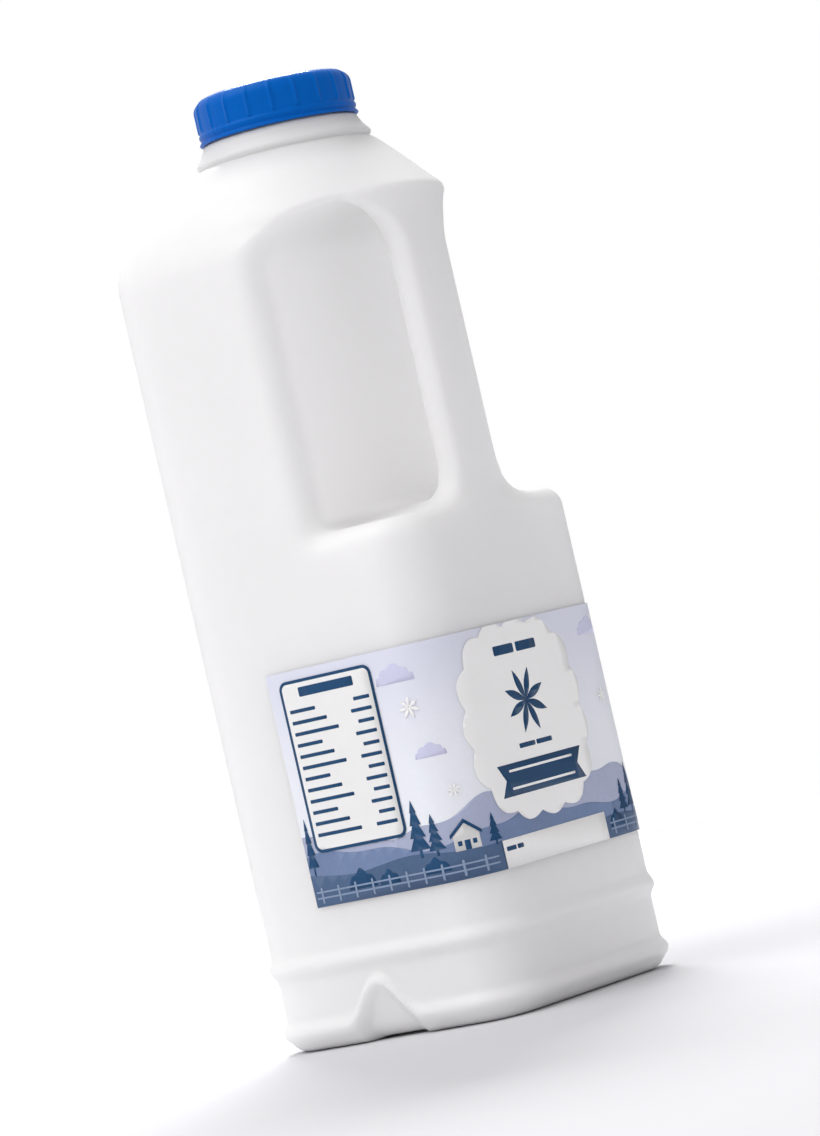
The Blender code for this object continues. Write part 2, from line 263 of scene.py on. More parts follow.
def handle_bar(size, x, y, z):
    """The bar, which flares at both ends; its front is the bottle's outer form."""
    low = np.clip(z, FOOT_FLARE_LOW + 0.2 * MM, FOOT_FLARE_HIGH)
    high = np.minimum(z, TOP_FLARE_HIGH - 1 * MM)
    foot_flare = FOOT_FLARE * quarter_turn(low, FOOT_FLARE_HIGH, FOOT_FLARE_LOW)
    top_flare = TOP_FLARE * quarter_turn(high, TOP_FLARE_LOW, TOP_FLARE_HIGH)
    half = size.bar_half + foot_flare + top_flare
    rear = size.bar_rear - 0.5 * foot_flare - 0.1 * top_flare
    bar = section(x, y, half, BAR_REACH, -rear, 0.4 * MM, 4.2 * MM)
    reach = mix(39.8 * MM, 38.3 * MM, eased(z, 194 * MM, 204 * MM))
    bar = -soft_min(-bar, reach - np.hypot(x, y), 1.5 * MM)
    return np.maximum(bar, np.maximum(BAR_FOOT - z, z - BAR_TOP))


def bottle_field(size, x, y, z):
    """The whole bottle: body, grip, bar, foot and neck."""
    outer = envelope(size, x, y, z)
    above_step = z - STEP_TOP - STEP_RISE * hump(x, STEP_RISE_HALF)
    grip = soft_min(grip_cove(size, y, z), above_step, 5 * MM)
    fillet = mix(4.6 * MM, 3.2 * MM, eased(z, 185 * MM, 197 * MM))
    kept = soft_min(grip, handle_bar(size, x, y, z), fillet)
    side_edge = mix(6.1 * MM, 5.2 * MM, eased(-y, 12 * MM, 24 * MM))
    edge = mix(side_edge, 2.3 * MM, eased(z, 197 * MM, 204 * MM))
    body = round_cut(outer, kept, edge)
    body = np.maximum(body, z - SHOULDER_TOP)
    lift = ARCH_LIFT * eased(arch_line(y), 6 * MM, 11 * MM) * eased(np.abs(x), 20 * MM, 28 * MM)
    body = round_cut(body, lift - z, FOOT_RADIUS)
    inside = -section(x, y, size.half, size.half, size.half, size.corner, size.corner)
    body = np.maximum(body, PUSH_UP * eased(inside, 10.4 * MM, 24 * MM) - z)
    away = np.hypot(x, y)
    heights, radii = np.array(NECK_PROFILE).T * MM
    neck = np.maximum(away - np.interp(z, heights, radii), np.maximum(221 * MM - z, z - LEDGE))
    spout = np.maximum(away - SPOUT_RADIUS, np.maximum(228 * MM - z, z - SPOUT_TOP))
    body = soft_min(body, neck, 0.5 * MM)
    return np.minimum(body, spout)


def field_values(size, points):
    return bottle_field(size, points[:, 0], points[:, 1], points[:, 2])


def settle(size, points, rounds):
    """Moves points onto the surface of the field along its slope."""
    step = 0.05 * MM
    for _ in range(rounds):
        value = field_values(size, points)
        slope = np.zeros_like(points)
        for axis in range(3):
            nudge = np.zeros(3)
            nudge[axis] = step
            ahead = field_values(size, points + nudge)
            slope[:, axis] = (ahead - field_values(size, points - nudge)) / (2 * step)
        steep = np.maximum((slope ** 2).sum(1), 0.05)
        move = -slope * (value / steep)[:, None]
        reach = np.linalg.norm(move, axis=1)
        move *= np.minimum(1, 0.4 * MM / np.maximum(reach, 1e-9))[:, None]
        points = points + move
    return points


def net_of(size, xs, ys, zs):
    """A closed net of four-sided faces over the surface of the field on a grid of places."""
    values = bottle_field(size, xs[:, None, None], ys[None, :, None], zs[None, None, :])
    inside = values < 0
    shape = tuple(n - 1 for n in values.shape)
    total = np.zeros(shape + (3,))
    count = np.zeros(shape)
    axes = (xs, ys, zs)
    crossings = []
    for axis in range(3):
        first = [slice(None)] * 3
        second = [slice(None)] * 3
        first[axis] = slice(None, -1)
        second[axis] = slice(1, None)
        a, b = values[tuple(first)], values[tuple(second)]
        at = np.argwhere(inside[tuple(first)] != inside[tuple(second)])
        key = tuple(at.T)
        part = a[key] / (a[key] - b[key])
        place = np.stack([axes[n][at[:, n]] for n in range(3)], 1)
        grid = axes[axis]
        place[:, axis] += part * (grid[at[:, axis] + 1] - grid[at[:, axis]])
        others = [n for n in range(3) if n != axis]
        around = []
        for back_u, back_v in ((0, 0), (1, 0), (1, 1), (0, 1)):
            cell = at.copy()
            cell[:, others[0]] -= back_u
            cell[:, others[1]] -= back_v
            where = tuple(cell.T)
            np.add.at(total, where, place)
            np.add.at(count, where, 1)
            around.append(np.ravel_multi_index(where, shape))
        quads = np.stack(around, 1)
        turned = inside[tuple(first)][key]
        if axis == 1:
            turned = ~turned
        quads[~turned] = quads[~turned][:, ::-1]
        crossings.append(quads)
    used = np.flatnonzero(count.ravel())
    number = np.full(count.size, -1)
    number[used] = np.arange(len(used))
    points = total.reshape(-1, 3)[used] / count.ravel()[used][:, None]
    return points, number[np.vstack(crossings)]


def relaxed(size, points, quads, rounds):
    """Evens out the net along the surface, and keeps it on the surface."""
    ends = np.vstack([quads[:, [n, (n + 1) % 4]] for n in range(4)])
    count = np.bincount(ends.ravel(), minlength=len(points))
    for _ in range(rounds):
        total = np.zeros_like(points)
        for axis in range(3):
            total[:, axis] = np.bincount(ends[:, 0], points[ends[:, 1], axis], len(points))
            total[:, axis] += np.bincount(ends[:, 1], points[ends[:, 0], axis], len(points))
        points = mix(points, total / count[:, None], 0.5)
        points = settle(size, points, 2)
    return points


def spaced(*stretches):
    """Grid places: each stretch is (from, to, spacing) in millimetres."""
    places = []
    for low, high, spacing in stretches:
        count = max(1, round((high - low) / spacing))
        places += [mix(low, high, n / count) * MM for n in range(count)]
    return np.array(places + [stretches[-1][1] * MM])


def mesh_object(name, points, faces, material, sharp=None):
    mesh = bpy.data.meshes.new(name)
    mesh.from_pydata([tuple(p) for p in np.asarray(points).tolist()], [], [tuple(f) for f in faces])
    mesh.update()
    bm = bmesh.new()
    bm.from_mesh(mesh)
    bmesh.ops.recalc_face_normals(bm, faces=bm.faces)
    bm.to_mesh(mesh)
    bm.free()
    mesh.shade_smooth()
    if sharp is not None:
        mesh.set_sharp_from_angle(angle=math.radians(sharp))
    piece = bpy.data.objects.new(name, mesh)
    bpy.context.scene.collection.objects.link(piece)
    mesh.materials.append(material)
    return piece


# Shader groups and finishes


def new_group(name, inputs, outputs):
    """An empty shader group with float inputs and outputs, and its two end nodes."""
    group = bpy.data.node_groups.new(name, "ShaderNodeTree")
    for label, value in inputs:
        socket = group.interface.new_socket(label, in_out="INPUT", socket_type="NodeSocketFloat")
        socket.default_value = value
    for label in outputs:
        group.interface.new_socket(label, in_out="OUTPUT", socket_type="NodeSocketFloat")
    return group, group.nodes.new("NodeGroupInput"), group.nodes.new("NodeGroupOutput")


def mottle_group():
    """Cloudy unevenness between two values, from a broad and a fine noise."""
    group, start, end = new_group(
        "Mottle", (("Broad scale", 30.0), ("Fine scale", 400.0), ("Low", 0.0), ("High", 1.0)), ("Value",))
    nodes, links = group.nodes, group.links
    place = nodes.new("ShaderNodeTexCoord")
    broad = nodes.new("ShaderNodeTexNoise")
    fine = nodes.new("ShaderNodeTexNoise")
    for noise, scale in ((broad, "Broad scale"), (fine, "Fine scale")):
        noise.inputs["Detail"].default_value = 3.0
        links.new(place.outputs["Object"], noise.inputs["Vector"])
        links.new(start.outputs[scale], noise.inputs["Scale"])
    blend = nodes.new("ShaderNodeMath")
    blend.operation = "MULTIPLY_ADD"
    blend.inputs[1].default_value = 0.35
    links.new(fine.outputs["Fac"], blend.inputs[0])
    scaled = nodes.new("ShaderNodeMath")
    scaled.operation = "MULTIPLY"
    scaled.inputs[1].default_value = 0.65
    links.new(broad.outputs["Fac"], scaled.inputs[0])
    links.new(scaled.outputs[0], blend.inputs[2])
    spread = nodes.new("ShaderNodeMapRange")
    spread.inputs["From Min"].default_value = 0.3
    spread.inputs["From Max"].default_value = 0.7
    links.new(blend.outputs[0], spread.inputs["Value"])
    links.new(start.outputs["Low"], spread.inputs["To Min"])
    links.new(start.outputs["High"], spread.inputs["To Max"])
    links.new(spread.outputs["Result"], end.inputs["Value"])
    return group


def height_group():
    """How far up the object a place is, from 0 at one height to 1 at another."""
    group, start, end = new_group("Height share", (("From", 0.0), ("To", 1.0)), ("Share",))
    nodes, links = group.nodes, group.links
    place = nodes.new("ShaderNodeTexCoord")
    split = nodes.new("ShaderNodeSeparateXYZ")
    links.new(place.outputs["Object"], split.inputs[0])
    spread = nodes.new("ShaderNodeMapRange")
    spread.interpolation_type = "SMOOTHSTEP"
    links.new(split.outputs["Z"], spread.inputs["Value"])
    links.new(start.outputs["From"], spread.inputs["From Min"])
    links.new(start.outputs["To"], spread.inputs["From Max"])
    links.new(spread.outputs["Result"], end.inputs["Share"])
    return group


def painted_glow_group():
    """1 on the flat floor of the grip and 0 elsewhere: the mask of a painted glow that stands in for light
    coming through the wall.
    """
    group, _, end = new_group("Painted glow share", (), ("Share",))
    nodes, links = group.nodes, group.links
    place = nodes.new("ShaderNodeTexCoord")
    split = nodes.new("ShaderNodeSeparateXYZ")
    links.new(place.outputs["Object"], split.inputs[0])
    share_so_far = None
    for axis, low, high in (
        ("Y", -0.0180, -0.0115), ("Y", -0.0070, -0.0100), ("Z", 0.1268, 0.1300),
        ("Z", 0.2030, 0.1900), ("X", -0.0375, -0.0290), ("X", 0.0375, 0.0290),
    ):
        ramp = nodes.new("ShaderNodeMapRange")
        ramp.interpolation_type = "SMOOTHSTEP"
        ramp.inputs["From Min"].default_value = low
        ramp.inputs["From Max"].default_value = high
        links.new(split.outputs[axis], ramp.inputs["Value"])
        if share_so_far is None:
            share_so_far = ramp.outputs["Result"]
            continue
        product = nodes.new("ShaderNodeMath")
        product.operation = "MULTIPLY"
        links.new(share_so_far, product.inputs[0])
        links.new(ramp.outputs["Result"], product.inputs[1])
        share_so_far = product.outputs[0]
    links.new(share_so_far, end.inputs["Share"])
    return group


GROUPS = {}


def group_node(material, name, **values):
    """Places a shared shader group in a material with its own values."""
    if name not in GROUPS:
        builders = {"Mottle": mottle_group, "Height share": height_group, "Painted glow share": painted_glow_group}
        GROUPS[name] = builders[name]()
    node = material.node_tree.nodes.new("ShaderNodeGroup")
    node.node_tree = GROUPS[name]
    for label, value in values.items():
        node.inputs[label.replace("_", " ")].default_value = value
    return node


def blended(material, factor, low, high):
    """A colour between two colours by a mask."""
    node = material.node_tree.nodes.new("ShaderNodeMix")
    node.data_type = "RGBA"
    node.inputs["A"].default_value = (*low, 1.0)
    node.inputs["B"].default_value = (*high, 1.0)
    material.node_tree.links.new(factor, node.inputs["Factor"])
    return node.outputs["Result"]


def shade(color, factor):
    return tuple(min(1.0, c * factor) for c in color)


def finish(
        name, color, roughness, unevenness=0.03, scales=(30.0, 400.0), bump=0.0, bump_scale=60.0, painted_shade_and_print_fade=None):
    """A moulded or printed finish: mottled colour and roughness, with a low bump."""
    material = bpy.data.materials.new(name)
    material.use_nodes = True
    links = material.node_tree.links
    shader = material.node_tree.nodes["Principled BSDF"]
    mottle = group_node(material, "Mottle", Broad_scale=scales[0], Fine_scale=scales[1])
    dark, light = shade(color, 1 - unevenness), shade(color, 1 + unevenness)
    tint = blended(material, mottle.outputs["Value"], dark, light)
    # A second colour that takes over with height: a printed gradient on the label, painted shade on the
    # bottle's neck
    if painted_shade_and_print_fade is not None:
        far, low, high = painted_shade_and_print_fade
        climb = group_node(material, "Height share", From=low, To=high)
        node = material.node_tree.nodes.new("ShaderNodeMix")
        node.data_type = "RGBA"
        node.inputs["B"].default_value = (*far, 1.0)
        links.new(climb.outputs["Share"], node.inputs["Factor"])
        links.new(tint, node.inputs["A"])
        tint = node.outputs["Result"]
    links.new(tint, shader.inputs["Base Color"])
    shader.inputs["Specular IOR Level"].default_value = 0.3
    rough = group_node(
        material, "Mottle", Broad_scale=scales[0] * 1.7, Fine_scale=scales[1] * 1.3,
        Low=roughness - 0.04, High=roughness + 0.05)
    links.new(rough.outputs["Value"], shader.inputs["Roughness"])
    if bump > 0:
        swell = group_node(material, "Mottle", Broad_scale=bump_scale, Fine_scale=bump_scale * 9)
        lift = material.node_tree.nodes.new("ShaderNodeBump")
        lift.inputs["Strength"].default_value = 1.0
        lift.inputs["Distance"].default_value = bump
        links.new(swell.outputs["Value"], lift.inputs["Height"])
        links.new(lift.outputs["Normal"], shader.inputs["Normal"])
    return material


# The label's strip and its print


class Strip:
    """The way round the body at the label: u runs from the front's middle towards +X, in metres."""

    def __init__(self, size, film):
        self.film = film
        turn = np.linspace(-math.pi / 2 - math.pi, -math.pi / 2 + math.pi, 4001)
        ray = np.stack([np.cos(turn), np.sin(turn)])
        low = np.zeros(len(turn))
        high = np.full(len(turn), 3 * size.half)
        for _ in range(40):
            reach = (low + high) / 2
            x, y = ray * reach
            inside = section(x, y, size.half, size.half, size.half, size.corner, size.corner) < 0
            low = np.where(inside, reach, low)
            high = np.where(inside, high, reach)
        x, y = ray * low
        side = 1 + size.crown * np.maximum(0, 1 - (y / size.half) ** 2) / size.half
        face = 1 + size.crown * np.maximum(0, 1 - (x / size.half) ** 2) / size.half
        self.x = x * side
        self.y = y * face
        run = np.concatenate([[0], np.cumsum(np.hypot(np.diff(self.x), np.diff(self.y)))])
        self.u = run - run[-1] / 2
        dx = np.gradient(self.x, self.u)
        dy = np.gradient(self.y, self.u)
        length = np.hypot(dx, dy)
        self.nx = dy / length
        self.ny = -dx / length

    def at(self, u, z, lift):
        """Places at u along the strip and z up, moved outwards by lift."""
        x = np.interp(u, self.u, self.x) + lift * np.interp(u, self.u, self.nx)
        y = np.interp(u, self.u, self.y) + lift * np.interp(u, self.u, self.ny)
        return np.stack([x, y, np.broadcast_to(z, np.shape(u))], -1)


# Along the strip, in millimetres, as all of the print is
LABEL_START = -84.8
LABEL_END = 70.8
COTTAGES = ((-40.2, 42.4, 6.4, 6.6), (52.5, 39.9, 6.0, 6.2))

FILM_GAP = 0.3 * MM
LAYER_STEP = 0.03 * MM
INK_THICKNESS = 0.02 * MM


def cut_lines():
    """Where a printed field is cut so that it can follow the corners, in millimetres."""
    corners = (-38.0, 38.0)
    lines = list(np.arange(-84.0, 71.0, 4.0))
    for corner in corners:
        lines += list(np.arange(corner - 12.0, corner + 12.0, 1.0))
    return sorted(set(round(float(line), 3) for line in lines))


def rounded_box(left, foot, right, top, radius, steps=5):
    """Outline of a box with rounded corners."""
    points = []
    radius = min(radius, (right - left) / 2 - 1e-4, (top - foot) / 2 - 1e-4)
    centres = ((right - radius, top - radius), (left + radius, top - radius),
               (left + radius, foot + radius), (right - radius, foot + radius))
    for quarter, (u, z) in enumerate(centres):
        for n in range(steps + 1):
            turn = math.pi / 2 * (quarter + n / steps)
            points.append((u + radius * math.cos(turn), z + radius * math.sin(turn)))
    return points


def under(profile, left, right, foot, step=1.0):
    """The field between a profile's line and a lower edge."""
    count = max(2, round((right - left) / step))
    line = [left + (right - left) * n / count for n in range(count + 1)]
    return [(left, foot), (right, foot)] + [(u, profile(u)) for u in reversed(line)]


def printed(name, strip, shapes, layer, material):
    """A print layer: flat outlines, filled, cut along upright lines and laid round the body."""
    bm = bmesh.new()
    for outline in shapes:
        rings = outline if isinstance(outline[0], list) else [outline]
        flat = [[Vector((u, z, 0.0)) for u, z in ring] for ring in rings]
        points = [p for ring in flat for p in ring]
        corners = [bm.verts.new(p) for p in points]
        for triangle in geometry.tessellate_polygon(flat):
            bm.faces.new([corners[n] for n in triangle])
    for line in cut_lines():
        bmesh.ops.bisect_plane(
            bm, geom=bm.verts[:] + bm.edges[:] + bm.faces[:], plane_co=(line, 0, 0), plane_no=(1, 0, 0))
    bmesh.ops.recalc_face_normals(bm, faces=bm.faces)
    lift = FILM_GAP + strip.film + LAYER_STEP * layer
    for face in bm.faces:
        if face.normal.z < 0:
            face.normal_flip()
    flat = np.array([v.co for v in bm.verts])
    placed = strip.at(flat[:, 0] * MM, flat[:, 1] * MM, lift)
    for vert, point in zip(bm.verts, placed):
        vert.co = point
    bm.normal_update()
    outward = sum(face.normal.x * face.calc_center_median().x + face.normal.y * face.calc_center_median().y
                  for face in bm.faces)
    if outward < 0:
        bmesh.ops.reverse_faces(bm, faces=bm.faces[:])
    mesh = bpy.data.meshes.new(name)
    bm.to_mesh(mesh)
    bm.free()
    mesh.shade_smooth()
    piece = bpy.data.objects.new(name, mesh)
    bpy.context.scene.collection.objects.link(piece)
    mesh.materials.append(material)
    body = piece.modifiers.new("Ink thickness", "SOLIDIFY")
    body.thickness = INK_THICKNESS
    body.offset = -1.0
    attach(piece, BODY)
    return piece


def wave(u, period, shift=0.0):
    return math.sin(2 * math.pi * (u - shift) / period)


def far_hills(u):
    return 51.5 + 2.6 * wave(u, 47, 6) + 1.1 * wave(u, 19, 3)


def near_hills(u):
    return 46.6 + 1.9 * wave(u, 61, -30) + 0.7 * wave(u, 23, 5)


def meadow(u):
    return 43.0 + 0.8 * wave(u, 37, 12)


def cloud(u, z, size):
    """A flat-footed cloud of five bumps."""
    points = [(u + 2.1 * size, z), (u - 2.1 * size, z)]
    bumps = (
        (-1.75, 0.35, 0.45), (-0.95, 0.75, 0.7), (0.1, 1.05, 0.85), (1.05, 0.75, 0.65), (1.8, 0.35, 0.42))
    arcs = []
    for across, up, radius in bumps:
        for n in range(7):
            turn = math.pi * (1 - n / 6)
            arcs.append((u + size * (across + radius * math.cos(turn)),
                         z + size * (up + radius * math.sin(turn))))
    arcs.sort(key=lambda p: p[0])
    top = []
    for p in arcs:
        if points[1][0] < p[0] < points[0][0]:
            height = max(
                z + size * (up + math.sqrt(max(0.0, radius ** 2 - ((p[0] - u) / size - across) ** 2)))
                for across, up, radius in bumps if abs((p[0] - u) / size - across) < radius + 1e-9)
            if not top or p[0] - top[-1][0] > 0.05:
                top.append((p[0], height))
    return [points[0]] + list(reversed(top)) + [points[1]]


def pine(u, foot, tall, wide):
    """A pine with four tiers on a short trunk."""
    tiers = 4
    right = []
    for n in range(tiers):
        low = foot + tall * (0.14 + 0.86 * n / tiers)
        high = foot + tall * (0.14 + 0.86 * (n + 1) / tiers)
        reach = wide / 2 * (1 - n / (tiers + 0.4))
        right.append((u + reach, low))
        right.append((u + reach * 0.42 if n < tiers - 1 else u, high))
    trunk = wide * 0.07
    left = [(2 * u - a, z) for a, z in reversed(right[:-1])]
    return [(u - trunk, foot), (u + trunk, foot), (u + trunk, right[0][1])] + right + left + [
        (u - trunk, right[0][1])]


def bush(u, foot, wide, tall):
    """A low bush with a slightly uneven top."""
    count = 16
    line = []
    for n in range(count + 1):
        t = n / count
        line.append((u + wide / 2 - wide * t, foot + tall * math.sin(math.pi * t) ** 0.6
                     * (1 + 0.12 * math.sin(5 * math.pi * t))))
    return line


def cottage(u, foot, wide, tall):
    """Gable wall of a small cottage."""
    return [(u, foot), (u + wide, foot), (u + wide, foot + 0.55 * tall), (u + wide / 2, foot + tall),
            (u, foot + 0.55 * tall)]


def petal(u, z, turn, length, wide, steps=10):
    """One pointed petal that grows from a centre."""
    points = []
    for n in range(2 * steps):
        t = n / steps
        along = t if t <= 1 else 2 - t
        side = 1 if t <= 1 else -1
        across = side * wide * math.sin(math.pi * along) * 0.5
        points.append((u + length * along * math.cos(turn) - across * math.sin(turn),
                       z + length * along * math.sin(turn) + across * math.cos(turn)))
    return points


def words(left, right, foot, tall, lengths, radius=0.25):
    """A row of plain bars that stands for a row of text."""
    gap = tall * 0.45
    room = right - left - gap * (len(lengths) - 1)
    scale = room / sum(lengths)
    bars = []
    at = left
    for length in lengths:
        bars.append(rounded_box(at, foot, at + length * scale, foot + tall, radius, 3))
        at += length * scale + gap
    return bars


def badge(u, z, wide, tall, bumps, depth, top):
    """A scalloped white field, cut straight at the label's upper edge."""
    points = []
    steps = bumps * 10
    for n in range(steps):
        turn = 2 * math.pi * n / steps
        swell = 1 - depth * (1 - abs(math.sin(bumps * turn / 2)))
        squareness = (abs(math.cos(turn)) ** 3 + abs(math.sin(turn)) ** 3) ** (-1 / 3)
        points.append((u + wide / 2 * swell * squareness * math.cos(turn),
                       min(top, z + tall / 2 * swell * squareness * math.sin(turn))))
    return points


# Operators, one for each piece or group of like pieces


class BuildBottle(bpy.types.Operator):
    """Build the fine bottle with its handle, ribs, arches and neck"""

    bl_idname = "milk_bottle.bottle"
    bl_label = "Bottle"

    def execute(self, context):
        size = context.scene.milk_bottle
        colors = context.scene.milk_finishes
        step = size.fineness / MM
        across = spaced((-42.0, 42.0, step))
        up = spaced(
            (-1.3, 27.0, 0.8), (27.0, 117.0, 2.0), (117.0, 141.0, 0.8), (141.0, 187.0, 1.6),
            (187.0, 208.0, 0.7), (208.0, 221.0, 1.0), (221.0, 230.0, 0.35), (230.0, 240.5, 2.0))
        points, quads = net_of(size, across + 0.013 * MM, across + 0.017 * MM, up)
        points = settle(size, points, 5)
        points = relaxed(size, points, quads, 3)
        points = settle(size, points, 3)
        # The plastic is painted darker, to 0.86 of its colour, from 216 mm up to 223.5 mm: painted shade on
        # the neck under the cap
        material = finish(
            "Milky polyethylene", tuple(colors.bottle), 0.40, 0.012, (22.0, 260.0), 0.05 * MM, 40.0,
            painted_shade_and_print_fade=(shade(colors.bottle, 0.86), 0.216, 0.2235))
        shader = material.node_tree.nodes["Principled BSDF"]
        shader.inputs["Subsurface Weight"].default_value = 0.5
        shader.inputs["Subsurface Scale"].default_value = 1.0
        shader.inputs["Subsurface Radius"].default_value = (0.016, 0.016, 0.016)
        # Painted glow: a faint emission on the grip's floor stands in for light that comes through the wall
        painted_glow = group_node(material, "Painted glow share")
        links = material.node_tree.links
        lit = blended(material, painted_glow.outputs["Share"], (0.0, 0.0, 0.0), (0.13, 0.127, 0.13))
        links.new(lit, shader.inputs["Emission Color"])
        shader.inputs["Emission Strength"].default_value = 1.0
        piece = mesh_object("milk_bottle_body", points, quads.tolist(), material)
        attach(piece, BODY)
        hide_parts("bottle")
        return {"FINISHED"}


CAP_FOOT = 229.4 * MM
CAP_TOP = 241.2 * MM
CAP_INNER = 18.5 * MM
CAP_CEILING = 239.3 * MM
CAP_HUB = 0.5 * MM
CAP_EASE = 0.4 * MM
RIM_ROUNDING = 0.3 * MM
TOP_ROUNDING = 3.4 * MM

# Distance out from the cap's radius and height above its foot, in millimetres
RIM_STEPS = ((0.28, 0.85), (-0.02, 1.1), (-0.02, 1.35), (0.3, 1.8), (0.4, 2.2), (0.3, 2.6), (0.0, 3.0))

# Radius and depth below the cap's top, in millimetres
CAP_DISH = ((15.6, 0.0), (15.2, 0.05), (14.8, 0.3), (14.3, 0.4), (8.0, 0.42), (0.5, 0.42))


class BuildCap(bpy.types.Operator):
    """Build the ribbed screw cap"""

    bl_idname = "milk_bottle.cap"
    bl_label = "Screw cap"

    def execute(self, context):
        size = context.scene.milk_cap
        colors = context.scene.milk_finishes
        rim = size.rim_radius - RIM_ROUNDING
        shell = [
            (CAP_HUB, CAP_CEILING, 0.0), (CAP_INNER - CAP_EASE, CAP_CEILING, 0.0),
            (CAP_INNER, CAP_CEILING - CAP_EASE, 0.0), (CAP_INNER, CAP_FOOT + CAP_EASE / 2, 0.0),
            (CAP_INNER + CAP_EASE / 2, CAP_FOOT, 0.0), (rim, CAP_FOOT, 0.0)]
        for turn in np.linspace(-math.pi / 2, math.pi / 2, 7)[1:]:
            shell.append((rim + RIM_ROUNDING * math.cos(turn),
                          CAP_FOOT + RIM_ROUNDING * (1 + math.sin(turn)), 0.0))
        shell += [(size.radius + out * MM, CAP_FOOT + up * MM, 0.0) for out, up in RIM_STEPS]
        shell.append((size.radius, CAP_FOOT + 3.3 * MM, 0.6))
        shell += [(size.radius, CAP_FOOT + (3.6 + 0.9 * n) * MM, 1.0) for n in range(6)]
        for turn in np.linspace(0, math.pi / 2, 11):
            shell.append((size.radius - TOP_ROUNDING * (1 - math.cos(turn)),
                          CAP_TOP - TOP_ROUNDING * (1 - math.sin(turn)), math.cos(turn) ** 1.5))
        shell += [(radius * MM, CAP_TOP - depth * MM, 0.0) for radius, depth in CAP_DISH]
        columns = size.ribs * 18
        turns = np.arange(columns) * 2 * math.pi / columns
        from_rib = (turns * size.ribs / (2 * math.pi) + 0.5) % 1 - 0.5
        crest = hump(from_rib, 0.12)
        points = []
        for radius, z, rib in shell:
            reach = radius + size.rib_proud * rib * crest
            points.append(np.stack([reach * np.cos(turns), reach * np.sin(turns), np.full(columns, z)], 1))
        faces = []
        for row in range(len(shell) - 1):
            for column in range(columns):
                after = (column + 1) % columns
                faces.append((row * columns + column, row * columns + after,
                              (row + 1) * columns + after, (row + 1) * columns + column))
        faces.append(tuple(range(columns)))
        last = (len(shell) - 1) * columns
        faces.append(tuple(range(last, last + columns)))
        material = finish("Cap blue", tuple(colors.cap), 0.30, 0.05, (60.0, 700.0), 0.012 * MM, 140.0)
        shader = material.node_tree.nodes["Principled BSDF"]
        shader.inputs["Specular IOR Level"].default_value = 0.16
        shader.inputs["Specular Tint"].default_value = (0.30, 0.60, 1.0, 1.0)
        piece = mesh_object("screw_cap", np.vstack(points), faces, material, sharp=50)
        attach(piece, BODY)
        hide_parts("cap")
        return {"FINISHED"}


